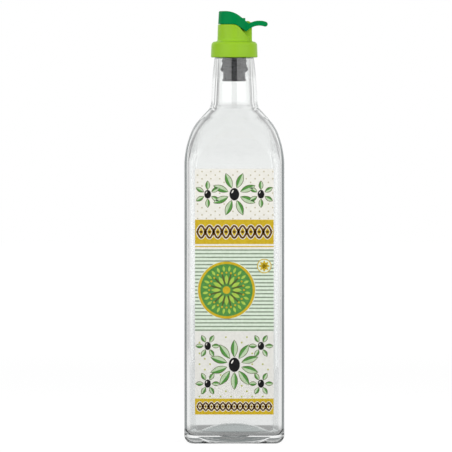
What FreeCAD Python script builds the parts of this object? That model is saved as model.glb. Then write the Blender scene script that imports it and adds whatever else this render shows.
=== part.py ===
import FreeCAD, Part
import math
import os

# An oil cruet: a tall square glass bottle, a finned stopper in its neck, a pourer cap
# over the lip, a flip lid with a thumb lever, and a fired print on the front face.
# Millimetres, +Z up. The origin is the centre of the base, on the surface it stands on.
# The print looks along -Y, and the thumb lever points along +X.

# Glass
bottle_height = 306.0        # base to lip
body_width = 77.0            # across the flats
corner_radius = 8.5          # upright corners, outside
inner_corner_radius = 6.5    # upright corners, inside
heel_radius = 6.5            # where the sides turn under the base
wall = 3.6                   # sides
shoulder_wall = 4.5          # shoulder and foot of the neck
base_thickness = 6.2         # at the edge of the floor
floor_radius = 4.5           # inside, where the sides meet the floor
floor_ring_width = 1.4       # level floor round the dome in its middle
floor_dome_height = 8.0
foot_ring_width = 3.0        # level foot round the hollow under the base
push_up_height = 6.6

# Shoulder and neck: arcs that meet in tangents, with angles from the upright
shoulder_radius = 68.0
shoulder_angle = 22.0
brow_radius = 34.0
slope_angle = 42.0
foot_radius = 11.0
foot_angle = 1.2
neck_curve = 300.0
neck_length = 42.0           # foot of the neck to the lip
neck_join_drop = 8.0         # where the neck's solid meets the body's, below that foot
finish_length = 7.6          # bead and land, inside the collar
bore_radius = 12.4
lip_wall = 2.63              # at the top of the neck
bead_step = 0.72             # bead, proud of the neck
bead_length = 3.0
land_step = 0.8              # land above the bead, in from it
lip_round = 0.9

# Stopper
plug_length = 27.2           # below the lip
plug_body_gap = 3.2          # bore wall to the plug's body
plug_low_gap = 3.8           # bore wall to the lower part of the plug
plug_foot_gap = 3.1
plug_foot_height = 1.8
fin_gap = 2.5                # bore wall to the two small fins
fin_height = 1.5
fin_drops = (12.1, 15.6)     # middles of the fins below the lip
bulge_gap = 1.7              # bore wall to the widest ring
bulge_height = 4.2
bulge_drop = 18.3            # widest place below the lip
flange_thickness = 1.2
flange_margin = 1.6          # flange edge, in from the bead
spigot_fit = 0.1             # pourer's tube to the plug

# Pourer
skirt_clearance = 0.45       # round the bead
skirt_wall = 1.9
skirt_flare = 0.35           # wider at the bottom edge
skirt_cover = 8.6            # how far the skirt hangs below the lip
skirt_round = 3.0            # top edge
skirt_foot_round = 0.7       # bottom edge
deck_thickness = 2.6
tower_radius = 13.1
tower_height = 13.2          # deck to the level rim
tower_draft = 0.35           # how much narrower the rim is
tower_wall = 1.9
tower_fillet = 1.2           # where the tower meets the collar
slope_deck_thickness = 2.0
channel_radius = 4.0
channel_wall = 1.5
spigot_length = 20.0         # below the lip, inside the plug
nozzle_height = 2.4          # above the level rim
nozzle_lip = 0.5             # rolled edge, proud of the nozzle
rim_step = 1.3               # rim above the sloping deck inside it
rim_start = -1.5             # where the level rim starts to fall
rim_curve = 8.0
rim_angle = 50.0

# Hinge
hinge_inset = 2.9            # axis in from the tower's outside
hinge_drop = 0.8             # axis below the level rim
knuckle_radius = 3.5
knuckle_half_width = 4.8
web_half_width = 2.0         # wall from the pouring tube to the knuckle
web_drop = 1.5               # its top, below the level rim
trunnion_radius = 1.5
trunnion_length = 2.2        # in the knuckle
trunnion_end_gap = 0.3
trunnion_clearance = 0.05
hinge_gap = 0.3              # lid's cheeks to the knuckle
open_angle = 45.0            # how far the lid tips up
open_margin = 3.0            # slot cut this much past the full opening

# Lid
lid_height = 10.3            # above the level rim
lid_gap = 0.25               # lid's edge to the rim
lid_wall = 1.8
nozzle_clearance = 0.35      # lid's hollow round the rolled nozzle lip
lid_inset = 0.25             # lid's side, in from the tower's at the rim
lid_draft = 0.55
lid_edge_round = 0.9         # round the crown
crown_start = -6.8           # where the flat top starts to fall
crown_curve = 18.0
crown_angle = 40.0
hem_angle = 35.0             # lower edge by the hinge
hem_end_inset = 3.9          # lower corner, in from the tower's outside
tail_angle = 38.0            # underside from that corner up to the lever
lever_curve = 14.0           # middle line of the wave
lever_crest_reach = 6.3      # crest beyond the tower's outside
lever_crest_rise = 1.0       # middle line above the level rim
lever_thickness = 3.8
lever_end_reach = 10.9       # centre of the rounded tip beyond the tower's outside
lever_half_width = 7.0
lever_corner = 4.5           # in plan
lever_tip_margin = 0.2
tail_margin = 0.3            # lid's tail, beyond the tower's outside
tail_rise = 0.6              # top of the tail above the hinge axis
valley_offset = 1.0          # slope's foot, beyond the hinge axis
cheek_inset = 0.5            # trunnion's root, in from the cheek's outside
ledge_inset = 1.6            # face of the stop ledge, short of the hinge axis
ledge_length = 3.4
ledge_rise = 5.0             # top of the ledge above the level rim
ledge_half_width = 2.6

# Print on the front face
ink_thickness = 0.15
ink_gap = 0.3                # between two fields of print
ink_seat = 0.004             # back of the print, off the flat
print_margin = 8.25          # side of the print, in from the flats
print_drop = 2.1             # top of the print, below the shoulder
base_band_rise = 22.7
base_band_height = 12.3
stripe_field_height = 63.2
top_band_height = 18.8
line_gap = 3.8               # stripe field to the top band
upper_dots_share = 0.43      # of the height left for the two dotted fields
roundel_radius = 22.0
roundel_offset = -6.0

# Points on a quarter of each section of the glass, and how they gather at the corners
quarter_steps = 24
even_share = 0.3
loft_steps = 24
turn_steps = 8

# Reach of the cutting shapes beyond what they cut
overcut = 1.0
cutter_reach = 2 * tower_radius

# Worked out from the sizes above
body_half = body_width / 2
floor_dome_radius = body_half - wall - floor_radius - floor_ring_width
push_up_radius = body_half - heel_radius - foot_ring_width
neck_top_radius = bore_radius + lip_wall
lip_z = bottle_height
neck_foot_z = bottle_height - neck_length
neck_top_z = bottle_height - finish_length
bead_radius = neck_top_radius + bead_step
skirt_inner_radius = bead_radius + skirt_clearance
skirt_outer_radius = skirt_inner_radius + skirt_wall
flange_top_z = lip_z + flange_thickness
deck_z = flange_top_z + deck_thickness
rim_z = deck_z + tower_height
hinge_x = tower_radius - hinge_inset
hinge_z = rim_z - hinge_drop
ink_y = -body_half - ink_seat


def sin(angle):
    return math.sin(math.radians(angle))


def cos(angle):
    return math.cos(math.radians(angle))


def tan(angle):
    return math.tan(math.radians(angle))


def side_profile():
    # the bottle's side above the body as arcs (z, half width, angle, signed radius), bottom up
    neck_rise = neck_length - finish_length
    neck_angle = math.degrees(math.asin(sin(foot_angle) + neck_rise / neck_curve))
    foot_half = neck_top_radius + neck_curve * (cos(foot_angle) - cos(neck_angle))
    shoulder_in = shoulder_radius * (1 - cos(shoulder_angle))
    brow_in = brow_radius * (cos(shoulder_angle) - cos(slope_angle))
    foot_in = foot_radius * (cos(foot_angle) - cos(slope_angle))
    slope_in = body_half - foot_half - shoulder_in - brow_in - foot_in
    foot_start = neck_foot_z - foot_radius * (sin(slope_angle) - sin(foot_angle))
    slope_start = foot_start - slope_in / tan(slope_angle)
    brow_start = slope_start - brow_radius * (sin(slope_angle) - sin(shoulder_angle))
    start = brow_start - shoulder_radius * sin(shoulder_angle)
    return [
        (start, body_half, 0.0, shoulder_radius),
        (brow_start, body_half - shoulder_in, shoulder_angle, brow_radius),
        (slope_start, body_half - shoulder_in - brow_in, slope_angle, None),
        (foot_start, foot_half + foot_in, slope_angle, -foot_radius),
        (neck_foot_z, foot_half, foot_angle, neck_curve),
    ]


profile = side_profile()
shoulder_z = profile[0][0]


def side_at(z):
    # half width and lean of the side at a height
    z_start, half_start, angle, radius = [step for step in profile if step[0] <= z + 1e-9][-1]
    if radius is None:
        return half_start - (z - z_start) * tan(angle), angle
    lean = math.degrees(math.asin(sin(angle) + (z - z_start) / radius))
    return half_start - radius * (cos(angle) - cos(lean)), lean


def blend(value, low, high):
    # smooth step from 0 at low to 1 at high
    share = min(max((value - low) / (high - low), 0.0), 1.0)
    return share * share * (3 - 2 * share)


def roundness(z):
    # 0 where the section is the body's rounded square, 1 where it is a circle
    return blend(z, shoulder_z, neck_foot_z)


def outer_section(z):
    half, lean = side_at(z)
    share = roundness(z)
    return half, corner_radius + (half - corner_radius) * share


def inner_section(z):
    half, lean = side_at(z)
    thick = wall + (shoulder_wall - wall) * blend(z, shoulder_z, profile[2][0])
    inner = max(half - thick / cos(lean), bore_radius)
    share = roundness(z)
    return inner, inner_corner_radius + (inner - inner_corner_radius) * share


def section_wire(half, corner, z):
    # rounded square as one closed curve through points at the same polar angles at every
    # height, closer together at the corners, so that sections of any shape loft together
    straight = half - corner
    points = []
    for index in range(4 * quarter_steps):
        share = 2.0 * (index % quarter_steps) / quarter_steps - 1.0
        polar = 45.0 * (1 + even_share * share + (1 - even_share) * share ** 3)
        sine = sin(polar)
        cosine = cos(polar)
        if straight > half * min(sine, cosine) / max(sine, cosine):
            reach = half / max(sine, cosine)
        else:
            middle = straight * (sine + cosine)
            reach = middle + math.sqrt(corner * corner - straight * straight * (1 - 2 * sine * cosine))
        turned = polar + 90.0 * (index // quarter_steps)
        points.append(FreeCAD.Vector(reach * cos(turned), reach * sin(turned), z))
    curve = Part.BSplineCurve()
    knots = [float(index) for index in range(4 * quarter_steps + 1)]
    curve.interpolate(Points=points, PeriodicFlag=True, Parameters=knots)
    return Part.Wire([curve.toShape()])


def loft_between(section, z_low, z_high, steps):
    wires = []
    for index in range(steps + 1):
        z = z_low + (z_high - z_low) * index / steps
        wires.append(section_wire(*section(z), z))
    return Part.makeLoft(wires, True, False)


def rounded_foot(half, corner, radius, z_low):
    # the turn from an upright side to a level floor, as sections that shrink on a quarter circle
    wires = []
    for index in range(turn_steps + 1):
        turn = 90.0 * index / turn_steps
        inset = radius * (1 - sin(turn))
        wires.append(section_wire(half - inset, corner - inset, z_low + radius * (1 - cos(turn))))
    return Part.makeLoft(wires, True, False)


def upright(half, corner, z_low, z_high):
    face = Part.Face(section_wire(half, corner, z_low))
    return face.extrude(FreeCAD.Vector(0, 0, z_high - z_low))


def dome(base_radius, height, z_base):
    # spherical cap, standing on the level z_base; the ball's poles lie to the sides of it
    ball_radius = (base_radius ** 2 + height ** 2) / (2 * height)
    middle = FreeCAD.Vector(0, 0, z_base + height - ball_radius)
    ball = Part.makeSphere(ball_radius, middle, FreeCAD.Vector(1, 0, 0))
    keep = Part.makeCylinder(base_radius + overcut, height + overcut, FreeCAD.Vector(0, 0, z_base))
    return ball.common(keep)


def turned(edges):
    # solid of revolution from edges drawn in the XZ plane, closed along the axis or as a ring
    face = Part.Face(Part.Wire(Part.__sortEdges__(edges)))
    return face.revolve(FreeCAD.Vector(0, 0, 0), FreeCAD.Vector(0, 0, 1), 360)


def at(x, z):
    return FreeCAD.Vector(x, 0, z)


def path(*points):
    # straight edges through the points, in order
    return [Part.makeLine(at(*first), at(*second)) for first, second in zip(points, points[1:])]


def arc(start, middle, end):
    return Part.Arc(at(*start), at(*middle), at(*end)).toShape()


def corner_arc(centre, radius, from_angle, to_angle):
    points = []
    for angle in (from_angle, (from_angle + to_angle) / 2, to_angle):
        points.append((centre[0] + radius * cos(angle), centre[1] + radius * sin(angle)))
    return arc(*points)


def slab(edges, half_width):
    # a side view drawn in the XZ plane, given its width along Y
    face = Part.Face(Part.Wire(Part.__sortEdges__(edges)))
    face.translate(FreeCAD.Vector(0, -half_width, 0))
    return face.extrude(FreeCAD.Vector(0, 2 * half_width, 0))


def bottle():
    body = rounded_foot(body_half, corner_radius, heel_radius, 0)
    body = body.fuse(upright(body_half, corner_radius, heel_radius, shoulder_z))
    body = body.fuse(loft_between(outer_section, shoulder_z, neck_top_z + bead_length / 2, loft_steps))
    land_radius = bead_radius - land_step
    bead_top = neck_top_z + bead_length
    finish = path(
        (0, lip_z),
        (0, neck_top_z),
        (bead_radius, neck_top_z),
        (bead_radius, bead_top),
        (land_radius, bead_top),
        (land_radius, lip_z - lip_round),
    )
    finish.append(corner_arc((land_radius - lip_round, lip_z - lip_round), lip_round, 0, 90))
    finish += path((land_radius - lip_round, lip_z), (0, lip_z))
    body = body.fuse(turned(finish))

    inner_half = body_half - wall
    cavity = rounded_foot(inner_half, inner_corner_radius, floor_radius, base_thickness)
    floor_z = base_thickness + floor_radius
    cavity = cavity.fuse(upright(inner_half, inner_corner_radius, floor_z, shoulder_z))
    cavity = cavity.fuse(loft_between(inner_section, shoulder_z, lip_z + overcut, loft_steps))
    cavity = cavity.cut(dome(floor_dome_radius, floor_dome_height, base_thickness))
    return body.cut(cavity).cut(dome(push_up_radius, push_up_height, 0))


def stopper():
    hole = channel_radius + channel_wall + spigot_fit
    upper = bore_radius - plug_body_gap
    lower = bore_radius - plug_low_gap
    foot = bore_radius - plug_foot_gap
    foot_z = lip_z - plug_length
    flange_radius = bead_radius - flange_margin
    edges = path((hole, foot_z), (hole, flange_top_z), (flange_radius, flange_top_z))
    edges += path((flange_radius, flange_top_z), (flange_radius, lip_z), (upper, lip_z))
    last = (upper, lip_z)
    for drop in fin_drops:
        middle_z = lip_z - drop
        top = (upper, middle_z + fin_height / 2)
        bottom = (upper, middle_z - fin_height / 2)
        edges += path(last, top)
        edges.append(arc(top, (bore_radius - fin_gap, middle_z), bottom))
        last = bottom
    bulge_z = lip_z - bulge_drop
    bulge_top = (upper, bulge_z + bulge_height / 2)
    bulge_bottom = (lower, bulge_z - bulge_height / 2)
    edges += path(last, bulge_top)
    edges.append(arc(bulge_top, (bore_radius - bulge_gap, bulge_z), bulge_bottom))
    foot_top = (lower, foot_z + plug_foot_height)
    foot_side = (foot, foot_z + plug_foot_height / 2)
    foot_edge = (lower, foot_z)
    edges += path(bulge_bottom, foot_top)
    edges.append(arc(foot_top, foot_side, foot_edge))
    edges += path(foot_edge, (hole, foot_z))
    return turned(edges)


def rim_edges(drop, x_left, x_right):
    # the tower's rim from the side: level, an arc, then straight down at rim_angle
    arc_x = rim_start + rim_curve * sin(rim_angle)
    arc_z = rim_z - rim_curve * (1 - cos(rim_angle)) - drop
    end_z = arc_z - (x_right - arc_x) * tan(rim_angle)
    edges = path((x_left, rim_z - drop), (rim_start, rim_z - drop))
    edges.append(corner_arc((rim_start, rim_z - drop - rim_curve), rim_curve, 90, 90 - rim_angle))
    edges += path((arc_x, arc_z), (x_right, end_z))
    return edges, end_z


def under_rim(drop):
    # everything below the rim line when that is moved down by drop
    reach = cutter_reach
    floor_z = deck_z - 4 * reach
    edges, end_z = rim_edges(drop, -reach, reach)
    edges += path((reach, end_z), (reach, floor_z), (-reach, floor_z), (-reach, rim_z - drop))
    return slab(edges, reach)


def tower_cone(inset, z_low, z_high):
    # the tower's drafted outside, or its inside when it is inset by the wall
    slope = tower_draft / tower_height
    low_radius = tower_radius - inset - slope * (z_low - deck_z)
    high_radius = tower_radius - inset - slope * (z_high - deck_z)
    return Part.makeCone(low_radius, high_radius, z_high - z_low, FreeCAD.Vector(0, 0, z_low))


def skirt():
    # collar over the lip: skirt, rounded top edge and the deck that holds the plug's flange
    foot_z = lip_z - skirt_cover
    foot_outer = skirt_outer_radius
    top_outer = foot_outer - skirt_flare
    deck_hole = tower_radius - tower_wall
    round_centre = (top_outer - skirt_round, deck_z - skirt_round)
    edges = path((deck_hole, deck_z), (deck_hole, flange_top_z), (skirt_inner_radius, flange_top_z))
    edges += path((skirt_inner_radius, flange_top_z), (skirt_inner_radius, foot_z))
    edges += path((skirt_inner_radius, foot_z), (foot_outer - skirt_foot_round, foot_z))
    foot_centre = (foot_outer - skirt_foot_round, foot_z + skirt_foot_round)
    edges.append(corner_arc(foot_centre, skirt_foot_round, -90, 0))
    edges += path((foot_outer, foot_z + skirt_foot_round), (top_outer, deck_z - skirt_round))
    edges.append(corner_arc(round_centre, skirt_round, 0, 90))
    edges += path((round_centre[0], deck_z), (deck_hole, deck_z))
    return turned(edges)


def channel():
    # the straight tube from the plug up to the pouring nozzle, with a rolled lip
    inner = channel_radius
    outer = channel_radius + channel_wall
    top_z = rim_z + nozzle_height
    low_z = lip_z - spigot_length
    lip_middle_z = top_z - 2 * nozzle_lip
    edges = path((inner, low_z), (outer, low_z), (outer, lip_middle_z - nozzle_lip))
    edges += path((outer, lip_middle_z - nozzle_lip), (outer + nozzle_lip, lip_middle_z))
    edges += path((outer + nozzle_lip, lip_middle_z), (outer + nozzle_lip, top_z), (inner, top_z))
    edges += path((inner, top_z), (inner, low_z))
    return turned(edges)


def knuckle():
    # the block that carries the lid, flat sided, with a round head and two blind bores,
    # and a web that ties it to the pouring tube
    low_z = deck_z - deck_thickness / 2
    left = hinge_x - knuckle_radius
    right = hinge_x + knuckle_radius
    edges = path((left, hinge_z), (left, low_z), (right, low_z), (right, hinge_z))
    edges.append(corner_arc((hinge_x, hinge_z), knuckle_radius, 0, 180))
    block = slab(edges, knuckle_half_width)
    depth = trunnion_length + trunnion_end_gap
    for side in (-1, 1):
        mouth = FreeCAD.Vector(hinge_x, side * (knuckle_half_width + overcut), hinge_z)
        inward = FreeCAD.Vector(0, -side, 0)
        drill = Part.makeCylinder(trunnion_radius + trunnion_clearance, depth + overcut, mouth, inward)
        block = block.cut(drill)
    web_x = channel_radius + channel_wall / 2
    corner = FreeCAD.Vector(web_x, -web_half_width, low_z)
    web = Part.makeBox(hinge_x - web_x, 2 * web_half_width, rim_z - web_drop - low_z, corner)
    return block.fuse(web)


def fillet_ring():
    # concave ring between the collar's deck and the foot of the tower
    inner = tower_radius - overcut
    outer = tower_radius + tower_fillet
    low_z = deck_z - overcut
    top_z = deck_z + tower_fillet
    edges = path((inner, low_z), (outer, low_z), (outer, deck_z))
    edges.append(corner_arc((outer, top_z), tower_fillet, 270, 180))
    edges += path((tower_radius, top_z), (inner, top_z), (inner, low_z))
    return turned(edges)


def pourer():
    low_z = deck_z - deck_thickness / 2
    tower = tower_cone(0, low_z, rim_z + overcut)
    tower = tower.fuse(fillet_ring()).common(under_rim(0))
    inside = tower_cone(tower_wall, flange_top_z - overcut, rim_z + overcut)
    well = inside.cut(under_rim(rim_step))
    hollow = inside.common(under_rim(rim_step + slope_deck_thickness))
    shell = tower.cut(well).cut(hollow).fuse(skirt())
    shell = shell.fuse(knuckle())
    bore_z = lip_z - spigot_length - overcut
    bore = Part.makeCylinder(channel_radius, rim_z - bore_z, FreeCAD.Vector(0, 0, bore_z))
    return shell.cut(bore).fuse(channel()).removeSplitter()


lid_top = rim_z + lid_height
valley_x = hinge_x + valley_offset
lever_centre = (tower_radius + lever_crest_reach, rim_z + lever_crest_rise - lever_curve)
lever_end_x = tower_radius + lever_end_reach


def crown_edges(drop, x_right):
    # the lid's top line moved down by drop: level, an arc, then straight down to x_right
    arc_x = crown_start + crown_curve * sin(crown_angle)
    arc_z = lid_top - drop - crown_curve * (1 - cos(crown_angle))
    end = (x_right, arc_z - (x_right - arc_x) * tan(crown_angle))
    level_end = (crown_start, lid_top - drop)
    edges = path((-cutter_reach, lid_top - drop), level_end)
    edges.append(corner_arc((crown_start, lid_top - drop - crown_curve), crown_curve, 90, 90 - crown_angle))
    edges += path((arc_x, arc_z), end)
    return edges, end


def under_crown(drop, x_right):
    # everything below the lid's top line when that is moved down by drop
    low_z = rim_z - 4 * cutter_reach
    edges, end = crown_edges(drop, x_right)
    edges += path(end, (x_right, low_z), (-cutter_reach, low_z), (-cutter_reach, lid_top - drop))
    return slab(edges, cutter_reach)


def over_hem():
    # everything above the lid's lower edge, as far as the tail
    hem_z = rim_z + lid_gap
    arc_x = rim_start + rim_curve * sin(hem_angle)
    arc_z = hem_z - rim_curve * (1 - cos(hem_angle))
    corner_x = tower_radius - hem_end_inset
    corner_z = arc_z - (corner_x - arc_x) * tan(hem_angle)
    tail_x = tower_radius + tail_margin
    tail_z = corner_z + (tail_x - corner_x) * tan(tail_angle)
    high_z = lid_top + cutter_reach
    edges = path((-cutter_reach, hem_z), (rim_start, hem_z))
    edges.append(corner_arc((rim_start, hem_z - rim_curve), rim_curve, 90 - hem_angle, 90))
    edges += path((arc_x, arc_z), (corner_x, corner_z), (tail_x, tail_z))
    edges += path((tail_x, tail_z), (tail_x, high_z), (-cutter_reach, high_z), (-cutter_reach, hem_z))
    return slab(edges, cutter_reach)


def lid_cone(inset):
    slope = lid_draft / lid_height
    low_z = rim_z - tower_height
    high_z = lid_top + overcut
    base = tower_radius - tower_draft - lid_inset - inset
    low_radius = base + slope * (rim_z - low_z)
    high_radius = base - slope * (high_z - rim_z)
    return Part.makeCone(low_radius, high_radius, high_z - low_z, FreeCAD.Vector(0, 0, low_z))


def crown():
    # the lid's round outside under its top line, with a rounded edge between the two
    shape = lid_cone(0).common(under_crown(0, cutter_reach))
    rounded = []
    for edge in shape.Edges:
        box = edge.BoundBox
        across = box.XLength < 0.01 and box.YLength > 0.01
        if box.ZMin > deck_z + overcut and not across and not edge_is_seam(shape, edge):
            rounded.append(edge)
    return shape.makeFillet(lid_edge_round, rounded)


def edge_is_seam(shape, edge):
    # the straight line where a round face closes on itself
    return len(shape.ancestorsOfType(edge, Part.Face)) < 2


def cheeks():
    # two flat arms beside the knuckle, from the cap to the lever, before the slot parts them
    low_x = hinge_x - knuckle_radius
    high_x = tower_radius + tail_margin
    low_z = hinge_z - cutter_reach
    floor_z = hinge_z + tail_rise
    edges, end = crown_edges(0, valley_x)
    edges += path(end, (high_x, floor_z), (high_x, low_z), (-cutter_reach, low_z), (-cutter_reach, lid_top))
    block = slab(edges, lever_half_width).common(over_hem())
    corner = FreeCAD.Vector(low_x, -lever_half_width, low_z)
    return block.common(Part.makeBox(cutter_reach, 2 * lever_half_width, 2 * cutter_reach, corner))


def lever():
    # wave-shaped thumb tab: a curved strip with a rounded tip, rounded again in plan
    half = lever_thickness / 2
    end_turn = math.degrees(math.acos((lever_end_x - lever_centre[0]) / lever_curve))
    root_turn = math.degrees(math.acos((valley_x - lever_centre[0]) / lever_curve))

    def on_curve(radius, turn):
        return (lever_centre[0] + radius * cos(turn), lever_centre[1] + radius * sin(turn))

    edges = [corner_arc(lever_centre, lever_curve + half, root_turn, end_turn)]
    edges.append(corner_arc(on_curve(lever_curve, end_turn), half, end_turn, end_turn - 180))
    edges.append(corner_arc(lever_centre, lever_curve - half, end_turn, root_turn))
    edges += path(on_curve(lever_curve - half, root_turn), on_curve(lever_curve + half, root_turn))
    strip = slab(edges, lever_half_width)
    tip_x = lever_end_x + half + lever_tip_margin
    corner = FreeCAD.Vector(tip_x - cutter_reach, -lever_half_width, hinge_z - cutter_reach)
    plan = Part.makeBox(cutter_reach, 2 * lever_half_width, 2 * cutter_reach, corner)
    tip_edges = []
    for edge in plan.Edges:
        box = edge.BoundBox
        if box.ZLength > cutter_reach and box.XMin > lever_end_x:
            tip_edges.append(edge)
    return strip.common(plan.makeFillet(lever_corner, tip_edges))


def ledge():
    # low step that ends the slope ahead of the knuckle
    face_x = hinge_x - ledge_inset
    corner = FreeCAD.Vector(face_x - ledge_length, -ledge_half_width, hinge_z)
    return Part.makeBox(ledge_length, 2 * ledge_half_width, rim_z + ledge_rise - hinge_z, corner)


def knuckle_slot():
    # room for the knuckle's head and, as the lid tips up, for the block below it
    radius = knuckle_radius + hinge_gap
    turn = open_angle + open_margin
    reach = cutter_reach + tower_radius
    right_start = (hinge_x + radius * cos(turn), hinge_z + radius * sin(turn))
    right_end = (right_start[0] + reach * sin(turn), right_start[1] - reach * cos(turn))
    left = hinge_x - radius
    low_z = hinge_z - reach
    edges = [corner_arc((hinge_x, hinge_z), radius, turn, 180)]
    edges += path((left, hinge_z), (left, low_z), (right_end[0], low_z), right_end, right_start)
    return slab(edges, knuckle_half_width + hinge_gap)


def lid():
    nozzle_radius = channel_radius + channel_wall + nozzle_lip
    hollow_end = max(hinge_x - knuckle_radius - hinge_gap, nozzle_radius + nozzle_clearance)
    hollow = lid_cone(lid_wall).common(under_crown(lid_wall, hollow_end))
    cap = crown().common(over_hem()).fuse(ledge())
    shape = cap.fuse(cheeks()).fuse(lever()).cut(hollow).cut(knuckle_slot())
    for side in (-1, 1):
        start_y = knuckle_half_width - trunnion_length
        length = lever_half_width - cheek_inset - start_y
        root = FreeCAD.Vector(hinge_x, side * start_y, hinge_z)
        shape = shape.fuse(Part.makeCylinder(trunnion_radius, length, root, FreeCAD.Vector(0, side, 0)))
    return shape.removeSplitter()


def ink_box(x_low, x_high, z_low, z_high):
    corner = FreeCAD.Vector(x_low, ink_y - ink_thickness, z_low)
    return Part.makeBox(x_high - x_low, ink_thickness, z_high - z_low, corner)


def ink_disc(radius, x, z):
    centre = FreeCAD.Vector(x, ink_y - ink_thickness, z)
    return Part.makeCylinder(radius, ink_thickness, centre, FreeCAD.Vector(0, 1, 0))


print_half = body_half - print_margin
print_top = shoulder_z - print_drop
base_band_top = base_band_rise + base_band_height
dots_total = print_top - base_band_top - stripe_field_height - line_gap - top_band_height
lower_dots_height = dots_total * (1 - upper_dots_share)
stripe_z = base_band_top + lower_dots_height
top_band_z = stripe_z + stripe_field_height + line_gap
roundel_z = stripe_z + stripe_field_height / 2


def whole_field():
    return ink_box(-print_half, print_half, stripe_z, stripe_z + stripe_field_height)


def stripe_field():
    return whole_field().cut(ink_disc(roundel_radius + ink_gap, roundel_offset, roundel_z))


def roundel():
    # disc of print, cut off where it would pass the edge of its field
    return ink_disc(roundel_radius, roundel_offset, roundel_z).common(whole_field())


glass = bottle()
join_box_low = FreeCAD.Vector(-body_width, -body_width, neck_foot_z - neck_join_drop)
above_join = Part.makeBox(2 * body_width, 2 * body_width, bottle_height, join_box_low)

nodes = {
    "bottle": glass.cut(above_join),
    "neck": glass.common(above_join),
    "stopper": stopper(),
    "pourer": pourer(),
    "lid": lid(),
    "base_band": ink_box(-print_half, print_half, base_band_rise, base_band_top),
    "top_band": ink_box(-print_half, print_half, top_band_z, top_band_z + top_band_height),
    "stripe_field": stripe_field(),
    "roundel": roundel(),
}

os.makedirs("parts", exist_ok=True)
for name, shape in nodes.items():
    print(name, shape.isValid(), len(shape.Solids), round(shape.Volume / 1000, 3), "cm3", shape.BoundBox)
    shape.exportStep("parts/" + name + ".step")
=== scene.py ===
import math

import bpy
import numpy as np
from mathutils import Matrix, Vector


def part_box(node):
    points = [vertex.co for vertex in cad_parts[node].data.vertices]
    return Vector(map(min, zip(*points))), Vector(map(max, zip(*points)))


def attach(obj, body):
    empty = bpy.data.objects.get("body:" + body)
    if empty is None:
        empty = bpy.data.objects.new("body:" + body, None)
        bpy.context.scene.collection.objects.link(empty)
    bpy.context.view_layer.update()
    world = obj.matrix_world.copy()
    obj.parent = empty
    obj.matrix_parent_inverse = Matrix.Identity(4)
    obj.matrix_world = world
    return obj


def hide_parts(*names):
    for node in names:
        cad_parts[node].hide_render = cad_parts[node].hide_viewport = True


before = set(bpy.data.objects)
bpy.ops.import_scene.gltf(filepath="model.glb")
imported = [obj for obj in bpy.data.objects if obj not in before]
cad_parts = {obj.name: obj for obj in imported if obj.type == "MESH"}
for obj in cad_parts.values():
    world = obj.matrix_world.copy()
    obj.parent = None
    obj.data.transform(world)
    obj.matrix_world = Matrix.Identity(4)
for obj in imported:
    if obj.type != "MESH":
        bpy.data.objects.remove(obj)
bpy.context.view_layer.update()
mm = 0.001
fullTurn = 2 * math.pi
print("frame loaded:", sorted(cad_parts))


# Shader tools

class Value:
    # a socket that carries a number; its operators add Math nodes
    def __init__(self, shader, socket):
        self.shader = shader
        self.socket = socket

    def math(self, operation, *others):
        inputs = {0: self}
        for place, other in enumerate(others, 1):
            inputs[place] = other
        made = self.shader.node("Math", {"operation": operation}, inputs)
        return Value(self.shader, made.outputs[0])

    def __add__(self, other):
        return self.math("ADD", other)

    def __mul__(self, other):
        return self.math("MULTIPLY", other)

    def __sub__(self, other):
        return self.math("SUBTRACT", other)

    def __rsub__(self, other):
        return (self * -1.0) + other

    __radd__ = __add__
    __rmul__ = __mul__

    def step(self, low, high):
        # smooth rise from 0 at low to 1 at high
        settings = {"interpolation_type": "SMOOTHSTEP"}
        made = self.shader.node("MapRange", settings, {"Value": self, "From Min": low, "From Max": high})
        return Value(self.shader, made.outputs[0])

    def largest(self, other):
        return self.math("MAXIMUM", other)


class Shader:
    def __init__(self, owner):
        owner.use_nodes = True
        self.tree = owner.node_tree
        self.tree.nodes.clear()

    def node(self, kind, settings=None, inputs=None):
        made = self.tree.nodes.new("ShaderNode" + kind)
        for name, setting in (settings or {}).items():
            setattr(made, name, setting)
        for name, given in (inputs or {}).items():
            if isinstance(given, Value):
                given = given.socket
            if isinstance(given, bpy.types.NodeSocket):
                self.tree.links.new(given, made.inputs[name])
            else:
                made.inputs[name].default_value = given
        return made

    def value(self, kind, settings=None, inputs=None, output=0):
        return Value(self, self.node(kind, settings, inputs).outputs[output])

    def place(self):
        return self.node("TexCoord").outputs["Object"]

    def split(self, vector):
        return [Value(self, socket) for socket in self.node("SeparateXYZ", {}, {0: vector}).outputs]

    def noise(self, scale, detail):
        inputs = {"Vector": self.place(), "Scale": scale, "Detail": detail}
        return self.value("TexNoise", {}, inputs)

    def mixed(self, factor, first, second):
        inputs = {0: factor, 6: first, 7: second}
        return self.node("Mix", {"data_type": "RGBA"}, inputs).outputs[2]

    def bump(self, height, strength, distance):
        inputs = {"Height": height, "Strength": strength, "Distance": distance}
        return self.node("Bump", {}, inputs).outputs[0]

    def finish(self, surface, kind="OutputMaterial"):
        self.node(kind, {}, {"Surface": surface})


def colour(red, green, blue):
    # screen colour, 0 to 255 each, as linear light
    shares = np.array([red, green, blue]) / 255.0
    linear = np.where(shares <= 0.04045, shares / 12.92, ((shares + 0.055) / 1.055) ** 2.4)
    return (*[float(share) for share in linear], 1.0)


# Mesh tools

def addPiece(name, vertices, faces, body, material, smooth=False):
    # one mesh in millimetres, put in the frame in metres
    mesh = bpy.data.meshes.new(name)
    mesh.from_pydata((np.asarray(vertices, float) * mm).tolist(), [], faces)
    mesh.validate()
    mesh.polygons.foreach_set("use_smooth", np.full(len(mesh.polygons), smooth))
    mesh.materials.append(material)
    piece = bpy.data.objects.new(name, mesh)
    bpy.context.scene.collection.objects.link(piece)
    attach(piece, body)
    return piece


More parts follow.
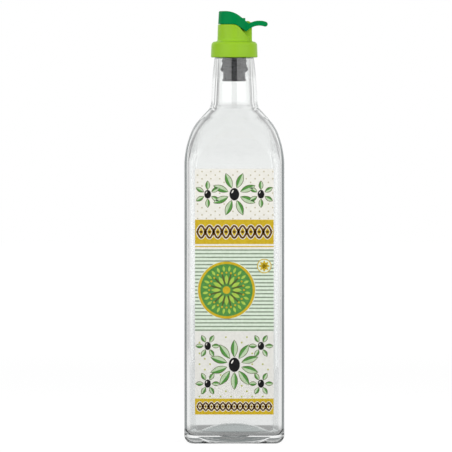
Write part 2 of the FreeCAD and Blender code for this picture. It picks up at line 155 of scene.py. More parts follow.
def quadBand(rows, columns):
    # faces of a grid whose columns close on themselves
    row, column = np.meshgrid(np.arange(rows - 1), np.arange(columns), indexing="ij")
    after = (column + 1) % columns
    corners = [row * columns + column, row * columns + after]
    corners += [(row + 1) * columns + after, (row + 1) * columns + column]
    return np.stack(corners, -1).reshape(-1, 4).tolist()


# The glass: rounded squares that turn into circles, each at its own height, in millimetres

glass = {
    "halfWidth": 38.5,
    "corner": 8.5,
    "innerCorner": 6.5,
    "heel": 6.5,
    "wall": 3.6,
    "shoulderWall": 4.5,
    "lipWall": 2.63,
    "bore": 12.4,
    "floorZ": 6.2,
    "floorRound": 4.5,
    "floorDome": (29.0, 8.0),
    "pushUp": (29.0, 6.6),
    "neckTop": 298.4,
    "lip": 306.0,
    "bead": 15.75,
    "beadLength": 3.0,
    "beadEdge": 0.1,
    "beadSeam": 0.02,
    "land": 14.95,
    "landTop": 2.5,
    "lipRound": 0.9,
    "boreTop": 1.5,
    "boreEdge": [(0.3, 0.0), (0.08, 0.1), (0.0, 0.35)],
    "arcs": {"shoulder": (68.0, 22.0), "brow": (34.0, 42.0), "foot": (11.0, 1.2), "neck": 300.0},
    "neckFoot": 264.0,
    "hub": 1.5,
    "around": 240,
    "evenShare": 0.3,
    "ripple": 0.1,
    "rippleFade": (235.0, 262.0),
    "waves": [(3, 31.0, 0.0, 0.5), (5, -17.0, 1.3, 0.3)],
    "sway": (23.0, 2.0, 0.5),
    "stipples": 72,
    "stippleDepth": 0.22,
    "stippleSharpness": 3.0,
}

# how many rows each stretch of the glass has
stretches = {"cap": 18, "heel": 15, "side": 34, "shoulder": 52, "neckOut": 16, "neckIn": 20, "floor": 13}


def sine(angle):
    return math.sin(math.radians(angle))


def cosine(angle):
    return math.cos(math.radians(angle))


def sideArcs():
    # the side above the body as rows of z, half width, angle from the upright, signed radius
    (shoulder, firstAngle), (brow, slope) = glass["arcs"]["shoulder"], glass["arcs"]["brow"]
    (foot, footAngle), neck = glass["arcs"]["foot"], glass["arcs"]["neck"]
    rise = glass["neckTop"] - glass["neckFoot"]
    neckLean = math.asin(sine(footAngle) + rise / neck)
    footHalf = glass["bore"] + glass["lipWall"] + neck * (cosine(footAngle) - math.cos(neckLean))
    shoulderIn = shoulder * (1 - cosine(firstAngle))
    browIn = brow * (cosine(firstAngle) - cosine(slope))
    footIn = foot * (cosine(footAngle) - cosine(slope))
    slopeIn = glass["halfWidth"] - footHalf - shoulderIn - browIn - footIn
    footStart = glass["neckFoot"] - foot * (sine(slope) - sine(footAngle))
    slopeStart = footStart - slopeIn / math.tan(math.radians(slope))
    browStart = slopeStart - brow * (sine(slope) - sine(firstAngle))
    start = browStart - shoulder * sine(firstAngle)
    half = glass["halfWidth"]
    return np.array([
        (start, half, 0.0, shoulder),
        (browStart, half - shoulderIn, firstAngle, brow),
        (slopeStart, half - shoulderIn - browIn, slope, 0.0),
        (footStart, footHalf + footIn, slope, -foot),
        (glass["neckFoot"], footHalf, footAngle, neck),
    ])


arcs = sideArcs()
shoulderZ = arcs[0, 0]


def sideAt(z):
    # half width and lean of the outside at the heights z: on each arc the sine of the lean grows
    # evenly with z, and where the radius is 0 the side runs straight
    row = arcs[np.clip(np.searchsorted(arcs[:, 0], z, side="right") - 1, 0, len(arcs) - 1)]
    angle, radius = np.radians(row[:, 2]), row[:, 3]
    above = np.maximum(z - row[:, 0], 0.0)
    flat = radius == 0.0
    curved = np.where(flat, 1.0, radius)
    bend = np.where(flat, 0.0, above / curved)
    lean = np.where(flat, angle, np.arcsin(np.sin(angle) + bend))
    straight = row[:, 1] - above * np.tan(angle)
    half = np.where(flat, straight, row[:, 1] - curved * (np.cos(angle) - np.cos(lean)))
    return half, lean


def smoothStep(value, low, high):
    share = np.clip((value - low) / (high - low), 0.0, 1.0)
    return share * share * (3 - 2 * share)


def turnAngles(count):
    # polar angles round a section, closer together at its corners, the same rule in each quarter
    quarter = count // 4
    share = 2.0 * np.arange(quarter) / quarter - 1.0
    even = glass["evenShare"]
    polar = 45.0 * (1 + even * share + (1 - even) * share ** 3)
    return np.radians(np.concatenate([polar + 90.0 * step for step in range(4)]))


def reach(half, corner, angle):
    # distance from the axis to a rounded square: the flat at half, or the corner's circle
    larger = np.maximum(np.abs(np.cos(angle)), np.abs(np.sin(angle)))
    smaller = np.minimum(np.abs(np.cos(angle)), np.abs(np.sin(angle)))
    straight = half - corner
    middle = straight * (larger + smaller)
    inCorner = np.sqrt(np.maximum(corner ** 2 - straight ** 2 * (1 - 2 * larger * smaller), 0.0))
    return np.where(straight > half * smaller / larger, half / larger, middle + inCorner)


def capHeight(radius, cap):
    # height of a spherical cap over its base, at a distance from the axis
    base, rise = cap
    ball = (base ** 2 + rise ** 2) / (2 * rise)
    return rise - ball + np.sqrt(ball ** 2 - radius ** 2)


def glassRows():
    # every row from the middle of the push-up, up the outside, over the lip and down to the floor:
    # half width, corner radius, height, how much the row carries ripple, how much it carries stipple
    g = glass
    rows = []

    def add(half, corner, z, ripple=0.0, stipple=0.0):
        parts = [np.atleast_1d(np.asarray(part, float)) for part in (half, corner, z, ripple, stipple)]
        rows.append(np.stack(np.broadcast_arrays(*parts), -1))

    base = g["pushUp"][0]
    radius = np.linspace(g["hub"], base, stretches["cap"])
    add(radius, radius, capHeight(radius, g["pushUp"]))

    # bearing face
    share = np.array([0.06, 0.16, 0.28, 0.4, 0.52, 0.64, 0.76, 0.88])
    foot, footCorner = g["halfWidth"] - g["heel"], g["corner"] - g["heel"]
    bearing = np.sin(share * math.pi) ** 0.5
    add(base + (foot - base) * share, base + (footCorner - base) * share, 0.0, 0.0, bearing)

    # heel and side
    turn = np.linspace(0.0, math.pi / 2, stretches["heel"])
    inset = g["heel"] * (1 - np.sin(turn))
    add(g["halfWidth"] - inset, g["corner"] - inset, g["heel"] * (1 - np.cos(turn)))
    z = np.linspace(g["heel"], shoulderZ, stretches["side"])[1:-1]
    add(g["halfWidth"], g["corner"], z)

    # shoulder and neck
    shoulder = np.linspace(shoulderZ, g["neckFoot"], stretches["shoulder"])
    z = np.concatenate([shoulder, np.linspace(g["neckFoot"], g["neckTop"], stretches["neckOut"])[1:]])
    half, lean = sideAt(z)
    add(half, g["corner"] + (half - g["corner"]) * smoothStep(z, shoulderZ, g["neckFoot"]), z)

    # bead, land and lip, as points of radius and height
    bead, land, lip, bevel, seam = g["bead"], g["land"], g["lip"], g["beadEdge"], g["beadSeam"]
    low, high = g["neckTop"], g["neckTop"] + g["beadLength"]
    finish = [(bead - bevel, low + seam), (bead, low + seam + bevel)]
    finish += [(bead, high - seam - bevel), (bead - bevel, high)]
    finish += [(land + bevel, high), (land, high + bevel)]
    finish += [(land, lip - g["landTop"]), (land, lip - g["lipRound"])]
    lipTurn = np.radians([20.0, 40.0, 60.0, 80.0, 90.0])
    radius = land - g["lipRound"] * (1 - np.cos(lipTurn))
    finish += list(zip(radius, lip - g["lipRound"] * (1 - np.sin(lipTurn))))
    finish += [(g["bore"] + out, lip - down) for out, down in g["boreEdge"]]
    finish = np.array(finish)
    add(finish[:, 0], finish[:, 0], finish[:, 1])

    # inside of the neck and shoulder
    z = np.linspace(lip - g["boreTop"], g["neckFoot"], stretches["neckIn"])
    z = np.concatenate([z, shoulder[::-1][1:]])
    half, lean = sideAt(z)
    thick = g["wall"] + (g["shoulderWall"] - g["wall"]) * smoothStep(z, shoulderZ, arcs[2, 0])
    inner = np.maximum(half - thick / np.cos(lean), g["bore"])
    corner = g["innerCorner"] + (inner - g["innerCorner"]) * smoothStep(z, shoulderZ, g["neckFoot"])
    add(inner, corner, z, 1.0 - smoothStep(z, *g["rippleFade"]))

    # inside of the body and its floor
    inner = g["halfWidth"] - g["wall"]
    z = np.linspace(shoulderZ, g["floorZ"] + g["floorRound"], stretches["side"])[1:]
    add(inner, g["innerCorner"], z, 1.0)
    turn = np.linspace(math.pi / 2, 0.0, stretches["floor"])[1:]
    inset = g["floorRound"] * (1 - np.sin(turn))
    z = g["floorZ"] + g["floorRound"] * (1 - np.cos(turn))
    add(inner - inset, g["innerCorner"] - inset, z, np.sin(turn))
    domeBase = g["floorDome"][0]
    edge, edgeCorner = inner - g["floorRound"], g["innerCorner"] - g["floorRound"]
    share = np.array([0.3, 0.6, 0.85])
    add(edge + (domeBase - edge) * share, edgeCorner + (domeBase - edgeCorner) * share, g["floorZ"])
    radius = np.linspace(domeBase, g["hub"], stretches["cap"])
    add(radius, radius, g["floorZ"] + capHeight(radius, g["floorDome"]))
    return np.concatenate(rows)


def glassSurface():
    # each row is a rounded square at its height; the inside is waved by crossing sines, and the
    # bearing face carries short radial bars, a square-ish wave round the axis
    rows = glassRows()
    around = turnAngles(glass["around"])
    count = len(around)
    angle = around[None, :]
    half, corner, z, ripple, stipple = [column[:, None] for column in rows.T]
    pitch, turn, rise = glass["sway"]
    wave = rise * np.sin(z / pitch + turn * np.cos(angle))
    for lobes, pitch, start, rise in glass["waves"]:
        wave = wave + rise * np.sin(lobes * angle + z / pitch + start)
    radius = reach(half, corner, angle) + glass["ripple"] * ripple * wave
    bar = np.sin(fullTurn * np.arange(count) / count * glass["stipples"])
    bars = 0.5 + 0.5 * np.tanh(glass["stippleSharpness"] * bar)
    height = z + glass["stippleDepth"] * stipple * bars
    points = np.stack([radius * np.cos(angle), radius * np.sin(angle), height], -1).reshape(-1, 3)
    ends = np.array([[0, 0, glass["pushUp"][1]], [0, 0, glass["floorZ"] + glass["floorDome"][1]]])
    faces = quadBand(len(rows), count)
    here = np.arange(count)
    after = (here + 1) % count
    top = (len(rows) - 1) * count
    faces += np.stack([np.full(count, len(points)), after, here], -1).tolist()
    faces += np.stack([top + here, top + after, np.full(count, len(points) + 1)], -1).tolist()
    return np.concatenate([points, ends]), faces


clearGlass = {
    "tint": (0.955, 0.965, 0.96, 1.0),
    "index": 1.5,
    "waveScale": 55.0,
    "wave": 0.06,
    "waveDepth": 0.0004,
    "shade": 0.93,
    "trapDepth": 6.5,
    # greys of the painted glow for light trapped in the glass: paler in the floor, darker up the sides
    "floorPaintedGlow": (0.43, 0.46, 0.46, 1.0),
    "sidePaintedGlow": (0.22, 0.24, 0.24, 1.0),
    "sideFade": (0.014, 0.018),
    "heelFade": (0.002, 0.006),
    "rimFade": (0.036, 0.038),
}


def trappedLight(s, depth):
    # light that has bounced about inside many times is painted in as an even grey glow, paler in the thick
    # floor and a bounce sooner and darker up the sides: where it is painted, and its shader
    x, y, z = s.split(s.place())
    across = x.math("ABSOLUTE").largest(y.math("ABSOLUTE"))
    rim = across.step(*clearGlass["rimFade"]) * z.step(*clearGlass["heelFade"])
    aside = z.step(*clearGlass["sideFade"]).largest(rim)
    trapped = (Value(s, depth) + aside).math("GREATER_THAN", clearGlass["trapDepth"])
    floor = s.node("Emission", {}, {"Color": clearGlass["floorPaintedGlow"]}).outputs[0]
    side = s.node("Emission", {}, {"Color": clearGlass["sidePaintedGlow"]}).outputs[0]
    return trapped, s.node("MixShader", {}, {0: aside, 1: floor, 2: side}).outputs[0]


def glassMaterial():
    # clear glass, which lets most of the lamps' light straight through to its shadow, with a painted grey
    # glow where light is trapped inside
    material = bpy.data.materials.new("clearGlass")
    s = Shader(material)
    wave = s.noise(clearGlass["waveScale"], 1.0)
    inputs = {
        "Base Color": clearGlass["tint"],
        "Roughness": 0.0,
        "IOR": clearGlass["index"],
        "Transmission Weight": 1.0,
        "Normal": s.bump(wave, clearGlass["wave"], clearGlass["waveDepth"]),
    }
    solid = s.node("BsdfPrincipled", {}, inputs).outputs[0]
    path = s.node("LightPath")
    # where a ray has gone deep inside the glass, a painted grey glow stands in for the light
    trapped, paintedGlow = trappedLight(s, path.outputs["Ray Depth"])
    solid = s.node("MixShader", {}, {0: trapped, 1: solid, 2: paintedGlow}).outputs[0]
    shade = clearGlass["shade"]
    clear = s.node("BsdfTransparent", {}, {"Color": (shade, shade, shade, 1.0)}).outputs[0]
    shadow = path.outputs["Is Shadow Ray"]
    s.finish(s.node("MixShader", {}, {0: shadow, 1: solid, 2: clear}).outputs[0])
    return material


vertices, faces = glassSurface()
glassPiece = addPiece("bottleGlass", vertices, faces, "bottle", glassMaterial(), True)
glassNodes = [name for name in ("bottle", "neck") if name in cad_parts]
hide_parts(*glassNodes)
print("glass:", len(vertices), "points")


# Plastics

moulding = {
    "flowScale": 60.0,
    "flowFade": (0.3, 0.7),
    "unevenness": 0.1,
    "index": 1.49,
    "grainDepth": 0.0002,
    "weld": 0.002,
    "soften": 0.5,
    "passes": 4,
}


def plasticMaterial(name, look):
    # moulded plastic: a fine grain, a slow drift of shade from the flow of the melt
    material = bpy.data.materials.new(name)
    s = Shader(material)
    flow = s.noise(moulding["flowScale"], 3.0)
    grain = s.noise(look["grainScale"], 2.0)
    inputs = {
        "Base Color": s.mixed(flow.step(*moulding["flowFade"]), look["deep"], look["pale"]),
        "Roughness": (flow - 0.5) * moulding["unevenness"] + look["roughness"],
        "IOR": moulding["index"],
        "Specular IOR Level": look["gloss"],
        "Normal": s.bump(grain, look["grain"], moulding["grainDepth"]),
    }
    s.finish(s.node("BsdfPrincipled", {}, inputs).outputs[0])
    return material


plastics = {
    "pourer": {
        "deep": colour(147, 195, 40),
        "pale": colour(153, 200, 46),
        "roughness": 0.35,
        "gloss": 0.14,
        "grain": 0.08,
        "grainScale": 2600.0,
        "voxel": 0.4,
        "body": "bottle",
        "slot": "pourer_plastic",
    },
    "lid": {
        "deep": colour(0, 131, 68),
        "pale": colour(1, 138, 74),
        "roughness": 0.35,
        "gloss": 0.03,
        "grain": 0.08,
        "grainScale": 2600.0,
        "voxel": 0.28,
        "body": "lid",
        "slot": "lid_plastic",
    },
    "stopper": {
        "deep": colour(24, 25, 28),
        "pale": colour(30, 31, 34),
        "roughness": 0.35,
        "gloss": 0.2,
        "grain": 0.15,
        "grainScale": 1800.0,
        "voxel": 0.35,
        "body": "bottle",
        "slot": "stopper_plastic",
    },
}


def mouldedCopy(node, look):
    # the node's solid as an even skin with softly rounded edges, as a mould leaves them
    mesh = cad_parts[node].data.copy()
    mesh.transform(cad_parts[node].matrix_world)
    piece = bpy.data.objects.new(node + "Moulding", mesh)
    bpy.context.scene.collection.objects.link(piece)
    weld = piece.modifiers.new("weld", "WELD")
    weld.merge_threshold = moulding["weld"] * mm
    skin = piece.modifiers.new("skin", "REMESH")
    skin.mode = "VOXEL"
    skin.voxel_size = look["voxel"] * mm
    soften = piece.modifiers.new("soften", "SMOOTH")
    soften.factor = moulding["soften"]
    soften.iterations = moulding["passes"]
    bpy.context.view_layer.update()
    depsgraph = bpy.context.evaluated_depsgraph_get()
    made = bpy.data.meshes.new_from_object(piece.evaluated_get(depsgraph))
    piece.modifiers.clear()
    piece.data = made
    made.materials.clear()
    made.materials.append(plasticMaterial(node + "Plastic", look))
    made.polygons.foreach_set("use_smooth", np.ones(len(made.polygons), bool))
    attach(piece, look["body"])
    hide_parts(node)
    print(node, len(made.polygons), "faces")


for node, look in plastics.items():
    mouldedCopy(node, look)

# lip inside the lid that drops behind the level part of the tower's rim
sealLip = {
    "outer": 10.75,
    "inner": 9.95,
    "low": 322.2,
    "high": 325.0,
    "from": 98.0,
    "to": 262.0,
    "steps": 60,
}


def sealLipSurface():
    # four corners of its section carried along an arc round the axis, closed at both ends
    lip = sealLip
    turn = np.radians(np.linspace(lip["from"], lip["to"], lip["steps"]))[:, None]
    radius = np.array([lip["outer"], lip["inner"], lip["inner"], lip["outer"]])[None, :]
    height = np.array([lip["low"], lip["low"], lip["high"], lip["high"]])[None, :] + 0.0 * turn
    points = np.stack([radius * np.cos(turn), radius * np.sin(turn), height], -1).reshape(-1, 3)
    last = (lip["steps"] - 1) * 4
    return points, quadBand(lip["steps"], 4) + [[3, 2, 1, 0], [last, last + 1, last + 2, last + 3]]


points, faces = sealLipSurface()
addPiece("lidSealLip", points, faces, "lid", bpy.data.materials["lidPlastic"])


# Print: thin plates of fired enamel on the front face

enamels = {
    "cream": {"slot": "cream_ink", "deep": colour(240, 238, 229), "pale": colour(245, 243, 235)},
    # a darker copy of the cream, painted shade for the lower ground
    "shade": {"slot": "cream_ink", "deep": colour(232, 231, 225), "pale": colour(238, 237, 231)},
    "gold": {"slot": "gold_ink", "deep": colour(203, 172, 36), "pale": colour(213, 184, 46)},
    "mint": {"slot": "pale_ink", "deep": colour(222, 237, 216), "pale": colour(230, 243, 225)},
    "leaf": {"slot": "green_ink", "deep": colour(80, 142, 66), "pale": colour(92, 152, 74)},
    "line": {"slot": "olive_ink", "deep": colour(130, 146, 124), "pale": colour(142, 157, 136)},
    "olive": {"slot": "olive_ink", "deep": colour(84, 88, 44), "pale": colour(96, 98, 52)},
    "bronze": {"slot": "olive_ink", "deep": colour(88, 60, 16), "pale": colour(100, 70, 22)},
    "sand": {"slot": "olive_ink", "deep": colour(196, 190, 162), "pale": colour(206, 200, 174)},
    "moss": {"slot": "olive_ink", "deep": colour(184, 188, 104), "pale": colour(194, 198, 116)},
    "lime": {"slot": "pale_ink", "deep": colour(168, 200, 76), "pale": colour(180, 210, 90)},
    "sage": {"slot": "pale_ink", "deep": colour(186, 208, 170), "pale": colour(200, 220, 186)},
    "black": {"slot": "black_ink", "deep": colour(14, 14, 15), "pale": colour(22, 22, 23)},
}
firing = {
    "patchScale": 420.0,
    "patchFade": (0.35, 0.65),
    "unevenness": 0.12,
    "roughness": 0.4,
    "index": 1.45,
    "gloss": 0.2,
    "weaveScale": 3800.0,
    "weave": 0.1,
    "weaveDepth": 0.0001,
}


def enamelMaterial(name, look):
    # screen print: colour a little uneven, a faint weave of the screen in the surface
    material = bpy.data.materials.new(name + "Enamel")
    s = Shader(material)
    patch = s.noise(firing["patchScale"], 4.0)
    weave = s.noise(firing["weaveScale"], 1.0)
    inputs = {
        "Base Color": s.mixed(patch.step(*firing["patchFade"]), look["deep"], look["pale"]),
        "Roughness": (patch - 0.5) * firing["unevenness"] + firing["roughness"],
        "IOR": firing["index"],
        "Specular IOR Level": firing["gloss"],
        "Normal": s.bump(weave, firing["weave"], firing["weaveDepth"]),
    }
    s.finish(s.node("BsdfPrincipled", {}, inputs).outputs[0])
    return material


enamelMade = {name: enamelMaterial(name, look) for name, look in enamels.items()}

# depth of each layer's face in front of the glass, all within the solids' own print
layers = {"ground": 0.06, "field": 0.08, "first": 0.1, "second": 0.115, "third": 0.13, "fourth": 0.145}
glassFaceZ = -38.5
seat = 0.05


def nodeSpan(node):
    # lowest and highest x and z of a node, in millimetres
    low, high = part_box(node)
    return low.x / mm, high.x / mm, low.z / mm, high.z / mm


def plates(name, outlines, enamel, layer):
    # many flat plates at once: outlines is count x points x 2, each going round anticlockwise
    # as seen from the front; a face in front, one behind and a wall between them
    outlines = np.asarray(outlines, float)
    count, points = outlines.shape[:2]
    front = np.full((count, points), glassFaceZ - layers[layer])
    back = np.full((count, points), glassFaceZ + seat)
    rings = [np.stack([outlines[..., 0], depth, outlines[..., 1]], -1) for depth in (front, back)]
    vertices = np.stack(rings, 1).reshape(-1, 3)
    start = (np.arange(count) * 2 * points)[:, None]
    step = np.arange(points)[None, :]
    after = (step + 1) % points
    faces = (start + step).tolist()
    faces += (start + points + step[:, ::-1]).tolist()
    wall = np.stack([start + after, start + step, start + points + step, start + points + after], -1)
    faces += wall.reshape(-1, 4).tolist()
    return addPiece(name, vertices, faces, "bottle", enamelMade[enamel])


def rectangle(left, right, low, high):
    return [[(left, low), (right, low), (right, high), (left, high)]]


def ringPlate(name, inner, outer, enamel, layer):
    # plate between two closed outlines with the same number of points, both anticlockwise
    inner, outer = np.asarray(inner, float), np.asarray(outer, float)
    front, back = glassFaceZ - layers[layer], glassFaceZ + seat
    loops = [(outer, front), (inner, front), (inner, back), (outer, back)]
    rings = [np.stack([loop[:, 0], np.full(len(loop), depth), loop[:, 1]], -1) for loop, depth in loops]
    count = len(inner)
    faces = quadBand(4, count)
    around = np.arange(count)
    after = (around + 1) % count
    faces += np.stack([3 * count + around, 3 * count + after, after, around], -1).tolist()
    return addPiece(name, np.concatenate(rings), faces, "bottle", enamelMade[enamel])


def circle(x, z, radius, count=72):
    angle = np.arange(count) * fullTurn / count
    return np.stack([x + radius * np.cos(angle), z + radius * np.sin(angle)], -1)


leafShape = {"fullness": 0.85, "vein": 0.08}


def petal(length, width, count=18, side=0):
    # pointed oval from the origin along +x, its half width a sine arch to a power below one;
    # side 1 or -1 keeps the half above or below its middle line, and the vein's width
    share = np.linspace(0.0, 1.0, count // 2 + 1)
    arch = width / 2 * np.sin(math.pi * share) ** leafShape["fullness"]
    under = arch if side <= 0 else arch * leafShape["vein"]
    over = arch if side >= 0 else arch * leafShape["vein"]
    lower = np.stack([length * share, -under], -1)
    upper = np.stack([length * share, over], -1)[::-1]
    return np.concatenate([lower, upper[1:-1]])


def placed(outline, places):
    # the outline at each place, given as rows of x, z, angle in degrees, scale
    places = np.asarray(places, float)
    angle = np.radians(places[:, 2])[:, None]
    x = outline[None, :, 0] * np.cos(angle) - outline[None, :, 1] * np.sin(angle)
    z = outline[None, :, 0] * np.sin(angle) + outline[None, :, 1] * np.cos(angle)
    size = places[:, 3][:, None]
    return np.stack([x * size + places[:, :1], z * size + places[:, 1:2]], -1)


left, right, baseLow, baseHigh = nodeSpan("base_band")
topLow, topHigh = nodeSpan("top_band")[2:]
fieldLow, fieldHigh = nodeSpan("stripe_field")[2:]
roundelSpan = nodeSpan("roundel")
roundelX = (roundelSpan[0] + roundelSpan[1]) / 2
roundelZ = (roundelSpan[2] + roundelSpan[3]) / 2
roundelRadius = (roundelSpan[1] - roundelSpan[0]) / 2
dotsTop = 211.8
fieldSeam = 0.02
ruleWidth = 0.9
holeGap = 0.05

baseBand = plates("baseBand", rectangle(left, right, baseLow, baseHigh), "gold", "field")
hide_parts("base_band")
topBand = plates("topBand", rectangle(left, right, topLow, topHigh), "gold", "field")
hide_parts("top_band")
# the lower ground takes the darker cream: painted shade
plates("lowerGround", rectangle(left, right, baseHigh + fieldSeam, fieldLow - fieldSeam), "shade", "ground")
plates("upperGround", rectangle(left, right, topHigh + fieldSeam, dotsTop), "cream", "ground")
between = rectangle(left, right, fieldHigh + fieldSeam, topLow - fieldSeam)
plates("middleGround", between, "cream", "ground")
ruleLow = (fieldHigh + topLow - ruleWidth) / 2
plates("goldRule", rectangle(left, right, ruleLow, ruleLow + ruleWidth), "gold", "field")

# stripe field: a plate between the roundel's hole and the rectangle, and its thin lines
centre = np.array([roundelX, roundelZ])


def edgeFrom(angles):
    # where a line from the roundel's middle at each angle meets the rectangle, which is the nearer
    # of its crossings with the upright edges and the level edges, and where it meets the hole
    direction = np.stack([np.cos(angles), np.sin(angles)], -1)
    edges = np.where(direction > 0, [right, fieldHigh], [left, fieldLow]) - centre
    parallel = np.abs(direction) < 1e-9
    span = np.where(parallel, np.inf, edges / np.where(parallel, 1.0, direction)).min(1)
    return centre + direction * span[:, None], centre + direction * (roundelRadius + holeGap)


corners = np.array([(x, z) for x in (left, right) for z in (fieldLow, fieldHigh)]) - centre
cornerAngles = np.arctan2(corners[:, 1], corners[:, 0]) % fullTurn
outerEdge, innerEdge = edgeFrom(np.sort(np.concatenate([np.arange(96) * fullTurn / 96, cornerAngles])))
stripeField = ringPlate("stripeField", innerEdge, outerEdge, "mint", "field")
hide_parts("stripe_field")

stripes = {"first": 0.3, "pitch": 2.8, "height": 1.0, "gap": 0.36, "shortest": 0.2}


def stripeLines():
    # level bars, each cut short where it meets the roundel's circle
    rise = stripes["height"]
    clear = roundelRadius + stripes["gap"]
    bars = []
    for z in np.arange(fieldLow + stripes["first"], fieldHigh - rise, stripes["pitch"]):
        ends = [clear ** 2 - (edge - roundelZ) ** 2 for edge in (z, z + rise)]
        if min(ends) <= 0:
            bars += rectangle(left, right, z, z + rise)
            continue
        under, over = [math.sqrt(end) for end in ends]
        if roundelX - min(under, over) > left + stripes["shortest"]:
            bars.append([(left, z), (roundelX - under, z), (roundelX - over, z + rise), (left, z + rise)])
        bars.append([(roundelX + under, z), (right, z), (right, z + rise), (roundelX + over, z + rise)])
    return bars


plates("stripeLines", stripeLines(), "line", "first")

# dotted grounds: staggered rows
dots = {
    "upper": {"pitch": (6.8, 2.78), "radius": 0.62, "margin": (2.0, 0.85), "enamel": "sand"},
    "lower": {"pitch": (8.1, 4.16), "radius": 0.72, "margin": (3.5, 1.5), "enamel": "moss"},
}


def dotPlaces(low, high, look):
    across, up = look["pitch"]
    side, margin = look["margin"]
    rows = np.arange(low + margin, high - margin + 0.01, up)
    spots = []
    for index, z in enumerate(rows):
        start = left + side + (across / 2 if index % 2 else 0.0)
        xs = np.arange(start, right - look["radius"], across)
        spots.append(np.stack([xs, np.full(len(xs), z)], -1))
    return np.concatenate(spots)


# motifs: rosettes of pointed ovals round black ovals
kinds = {
    "centre": {"petals": 8, "length": 12.0, "width": 4.6, "inner": 5.2, "first": 22.5},
    "flank": {"petals": 6, "length": 6.6, "width": 3.0, "inner": 3.6, "first": 30.0},
    "star": {"petals": 10, "length": 13.0, "width": 4.8, "inner": 6.0, "first": 18.0},
    "corner": {"petals": 6, "length": 5.8, "width": 2.9, "inner": 3.4, "first": 0.0},
}
rosettes = [
    (0.0, 192.2, "centre"),
    (-20.5, 192.2, "flank"),
    (20.5, 192.2, "flank"),
    (0.0, 61.0, "star"),
    (-20.5, 75.5, "corner"),
    (20.5, 75.5, "corner"),
    (-20.5, 46.5, "corner"),
    (20.5, 46.5, "corner"),
]
motif = {"rim": 0.35, "inset": 0.1, "clearance": 0.35, "berry": 0.92, "berryWidth": 0.78}


def petalPlaces():
    # foot of each petal, its angle, length and width
    rows = []
    for x, z, name in rosettes:
        kind = kinds[name]
        for angle in kind["first"] + np.arange(kind["petals"]) * 360.0 / kind["petals"]:
            foot = (x + kind["inner"] * cosine(angle), z + kind["inner"] * sine(angle))
            rows.append((*foot, angle, kind["length"], kind["width"]))
    return np.array(rows)


def clearOf(spots, margin):
    # dots that no motif touches: the distance to each petal's middle line, less half its width
    petals = petalPlaces()
    turn = np.radians(petals[:, 2])
    along = np.stack([np.cos(turn), np.sin(turn)], -1)
    offset = spots[:, None, :] - petals[None, :, :2]
    share = np.clip((offset * along).sum(-1), 0.0, petals[:, 3])
    gap = np.linalg.norm(offset - share[..., None] * along, axis=-1) - petals[:, 4] / 2
    keep = gap.min(1) > margin
    for x, z, name in rosettes:
        keep &= np.hypot(spots[:, 0] - x, spots[:, 1] - z) > kinds[name]["inner"] + margin
    return spots[keep]


for zone, low, high in (("upper", topHigh, dotsTop), ("lower", baseHigh, fieldLow)):
    look = dots[zone]
    spots = clearOf(dotPlaces(low, high, look), look["radius"] + motif["clearance"])
    places = np.column_stack([spots, np.zeros(len(spots)), np.ones(len(spots))])
    plates(zone + "Dots", placed(circle(0.0, 0.0, look["radius"], 12), places), look["enamel"], "field")


def petalSet(grow, side):
    # outlines of every petal, each scaled to its own length and width and grown all round
    unit = petal(1.0, 1.0, 20, side)
    outlines = []
    for x, z, angle, length, width in petalPlaces():
        shape = unit * [length + 2 * grow, width + 2 * grow] - [grow, 0.0]
        outlines.append(placed(shape, [(x, z, angle, 1.0)])[0])
    return np.array(outlines)


plates("petalRims", petalSet(motif["rim"], 0), "olive", "first")
plates("petalGreens", petalSet(-motif["inset"], 1), "leaf", "second")
plates("petalPales", petalSet(-motif["inset"], -1), "sage", "third")

berries = [(x, z, 90.0, kinds[name]["inner"] * motif["berry"]) for x, z, name in rosettes]
oval = circle(0.0, 0.0, 1.0, 28) * [1.0, motif["berryWidth"]]
plates("berries", placed(oval, berries), "black", "second")

# glints: small slanted ovals up and to the left on each berry, as shares of its size
glint = {"shape": [0.3, 0.1], "aside": -0.28, "up": 0.42, "slant": 60.0}
places = []
for x, z, angle, size in berries:
    places.append((x + size * glint["aside"], z + size * glint["up"], glint["slant"], size))
plates("berryGlints", placed(circle(0.0, 0.0, 1.0, 14) * glint["shape"], places), "cream", "third")

# roundel: green disc, gold rim, rings of lime petals round a gold middle
roundelShape = {"rim": 1.9, "heart": 2.9}
smallPetal = petal(4.4, 1.9)
roundel = plates("roundelDisc", [circle(roundelX, roundelZ, roundelRadius)], "leaf", "field")
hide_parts("roundel")
rimEdges = [circle(roundelX, roundelZ, roundelRadius - rim) for rim in (roundelShape["rim"], 0.0)]
ringPlate("roundelRim", *rimEdges, "gold", "first")


def ringOf(count, radius, first):
    # places evenly round the roundel's middle, each turned outwards
    angles = first + np.arange(count) * 360.0 / count
    turned = np.radians(angles)
    spots = centre + radius * np.stack([np.cos(turned), np.sin(turned)], -1)
    return np.column_stack([spots, angles, np.ones(count)])


roundelRings = [
    # name, shape, count, radius of the ring, first angle, enamel, layer
    ("roundelSpokes", petal(11.5, 1.3), 12, 3.2, 15.0, "olive", "first"),
    ("roundelPetals", petal(7.2, 2.7), 12, 4.6, 0.0, "lime", "second"),
    ("roundelTips", smallPetal, 24, 14.2, 7.5, "lime", "second"),
    ("roundelBeads", circle(0.0, 0.0, 0.75, 12), 24, 13.4, 0.0, "gold", "third"),
]
for name, shape, count, radius, first, enamel, layer in roundelRings:
    plates(name, placed(shape, ringOf(count, radius, first)), enamel, layer)
plates("roundelHeart", [circle(roundelX, roundelZ, roundelShape["heart"], 32)], "gold", "third")

# small gold rosette beside the roundel
seal = {"x": 23.0, "z": 137.0, "radius": 5.6, "rim": 0.7, "petals": 8}
sealEdges = [circle(seal["x"], seal["z"], seal["radius"] - rim, 48) for rim in (seal["rim"], 0.0)]
plates("sealDisc", [sealEdges[1]], "mint", "second")
ringPlate("sealRing", *sealEdges, "gold", "third")
turns = np.arange(seal["petals"]) * 360.0 / seal["petals"]
sealPetals = [(seal["x"], seal["z"], angle, 1.0) for angle in turns]
plates("sealPetals", placed(smallPetal, sealPetals), "gold", "fourth")

